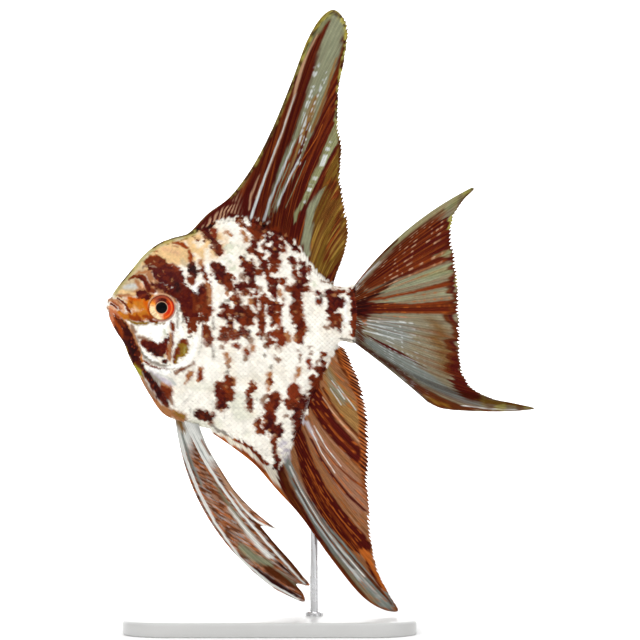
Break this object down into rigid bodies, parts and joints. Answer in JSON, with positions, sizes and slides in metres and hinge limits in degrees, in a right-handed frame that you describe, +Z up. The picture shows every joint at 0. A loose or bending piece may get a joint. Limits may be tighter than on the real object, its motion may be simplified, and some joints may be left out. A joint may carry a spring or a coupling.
{
  "type": "marble angelfish model",
  "caption": "Still, life-size marble angelfish with tall swept fins, held over a flat display base by a thin rod.",
  "frame": {"origin": "centre of the underside of the stand's base", "axes": "+Z up; the fish faces -X and its left flank faces -Y"},
  "size_m": [0.1327, 0.052, 0.1926],
  "materials": {
    "skin": "silvery white scaled skin with dark chestnut marbling",
    "eye": "wet orange-red iris round a black pupil",
    "fin": "rayed membrane streaked dark brown, olive and silver grey",
    "clear_fin": "clear rayed membrane",
    "stand_plate": "satin pale grey lacquer",
    "stand_steel": "satin steel rod"
  },
  "bodies": {
    "root": {"head": "skin", "lower_jaw": "skin", "gill_cover_left": "skin", "gill_cover_right": "skin", "trunk": "skin", "tail_stalk": "skin", "eye_left": "eye", "eye_right": "eye", "fin_dorsal": "fin", "fin_anal": "fin", "fin_caudal": "fin", "fin_pelvic_left": "fin", "fin_pelvic_right": "fin", "fin_pectoral_left": "clear_fin", "fin_pectoral_right": "clear_fin", "stand_base": "stand_plate", "stand_rod": "stand_steel"}
  },
  "joints": []
}
